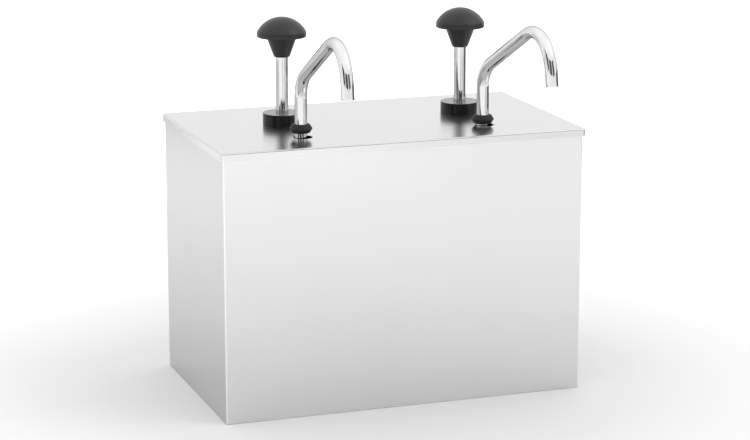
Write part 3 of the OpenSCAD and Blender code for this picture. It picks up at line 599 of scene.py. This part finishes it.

# Stage: a pale paper floor with painted shade, a shade greyer under the object than a metre away
stage = {"floor": 14.0, "near": "#CACACA", "far": "#FDFDFD", "fullShadeR": 0.26, "shadeEndR": 1.3, "drop": 0.0003,
         "paperRough": 0.9}
half = stage["floor"] / 2
floorCorners = [(x * half, y * half, -stage["drop"]) for x, y in ((-1, -1), (1, -1), (1, 1), (-1, 1))]
floorMesh = bpy.data.meshes.new("floor")
floorMesh.from_pydata(floorCorners, [], [(0, 1, 2, 3)])
floor = bpy.data.objects.new("floor", floorMesh)
scene.collection.objects.link(floor)
paper, paperTree, paperShader, paperPlace = startMaterial("palePaperPaintedShade", Roughness=stage["paperRough"])
# Painted shade: the floor's colour darkens from the far tone to the near tone towards the object, a painted
# soft shadow round its foot
away = addNode(paperTree, "ShaderNodeVectorMath", {0: paperPlace.outputs["Object"]}, operation="LENGTH")
fade = addNode(paperTree, "ShaderNodeMapRange", {
    "Value": away.outputs["Value"], "From Min": stage["fullShadeR"], "From Max": stage["shadeEndR"]})
tone = addNode(paperTree, "ShaderNodeMix", {
    mixFactor: fade.outputs["Result"], mixFrom: linear(stage["near"]), mixTo: linear(stage["far"])},
    data_type="RGBA")
paperTree.links.new(tone.outputs[mixResult], paperShader.inputs["Base Color"])
floorMesh.materials.append(paper)

# Cards that only reflections show: low ones for the streaks in rods and tubes, and a wall with dark panels
# behind the camera. Angles count from the camera's side, to the right when seen from the camera.
cards = {"step": 4, "turns": (
    {"name": "cardLeft", "from": -180, "to": -56, "colour": "#CCCCCC", "r": 1.3, "z": (0, 0.12)},
    {"name": "cardRight", "from": 38, "to": 72, "colour": "#DADADA", "r": 1.3, "z": (0, 0.12)},
    {"name": "cardDark", "from": 78, "to": 142, "colour": "#6A6A6A", "r": 1.3, "z": (0, 0.4)},
    {"name": "roomWall", "from": -58, "to": 54, "colour": "#C8C8C8", "r": 2.85, "z": (0.5, 1.75)},
    {"name": "roomLeft", "from": -58, "to": -34, "colour": "#303030", "r": 2.8, "z": (0.5, 1.75)},
    {"name": "roomMiddle", "from": -17, "to": 10, "colour": "#303030", "r": 2.8, "z": (0.5, 1.75)},
    {"name": "roomRight", "from": 28, "to": 54, "colour": "#404040", "r": 2.8, "z": (0.5, 1.75)})}
facing = math.degrees(math.atan2(view["place"][1], view["place"][0]))  # the way from the object to the camera
for turn in cards["turns"]:
    span = turn["to"] - turn["from"]
    count = round(span / cards["step"])
    ways = [math.radians(facing + turn["from"] + span * k / count) for k in range(count + 1)]
    corners = [(turn["r"] * math.cos(a), turn["r"] * math.sin(a), z) for a in ways for z in turn["z"]]
    cardMesh = bpy.data.meshes.new(turn["name"])
    cardMesh.from_pydata(corners, [], [(2 * k, 2 * k + 2, 2 * k + 3, 2 * k + 1) for k in range(count)])
    cardPaper = startMaterial(
        turn["name"] + "Paper", Base_Color=linear(turn["colour"]), Roughness=stage["paperRough"])[0]
    cardMesh.materials.append(cardPaper)
    card = bpy.data.objects.new(turn["name"], cardMesh)
    scene.collection.objects.link(card)
    card.visible_camera = card.visible_diffuse = card.visible_shadow = False

# Light: a bright room, brighter overhead, and a weak key from the right
light = {"low": 1.33, "high": 1.55, "climb": (0.3, 0.85), "key": 0.4, "keySoftness": 30.0,
         "keyFrom": (0.7, -0.4, 0.8)}
keyData = bpy.data.lights.new("key", "SUN")
keyData.energy = light["key"]
keyData.angle = math.radians(light["keySoftness"])
key = bpy.data.objects.new("key", keyData)
scene.collection.objects.link(key)
keyX, keyY, keyZ = light["keyFrom"]
key.rotation_euler = (math.atan2(math.hypot(keyX, keyY), keyZ), 0, math.atan2(keyY, keyX) + math.pi / 2)
room = bpy.data.worlds.new("room")
scene.world = room
room.use_nodes = True
roomTree = room.node_tree
sky = roomTree.nodes["Background"]
toward = addNode(roomTree, "ShaderNodeTexCoord")
split = addNode(roomTree, "ShaderNodeSeparateXYZ", {"Vector": toward.outputs["Generated"]})
upward = addNode(roomTree, "ShaderNodeMapRange", {
    "Value": split.outputs["Z"], "From Min": light["climb"][0], "From Max": light["climb"][1],
    "To Min": light["low"], "To Max": light["high"]}, interpolation_type="SMOOTHSTEP")
roomTree.links.new(upward.outputs["Result"], sky.inputs["Strength"])
sky.inputs["Color"].default_value = (1, 1, 1, 1)

scene.view_settings.view_transform = "Standard"
print("stage, light and camera set")
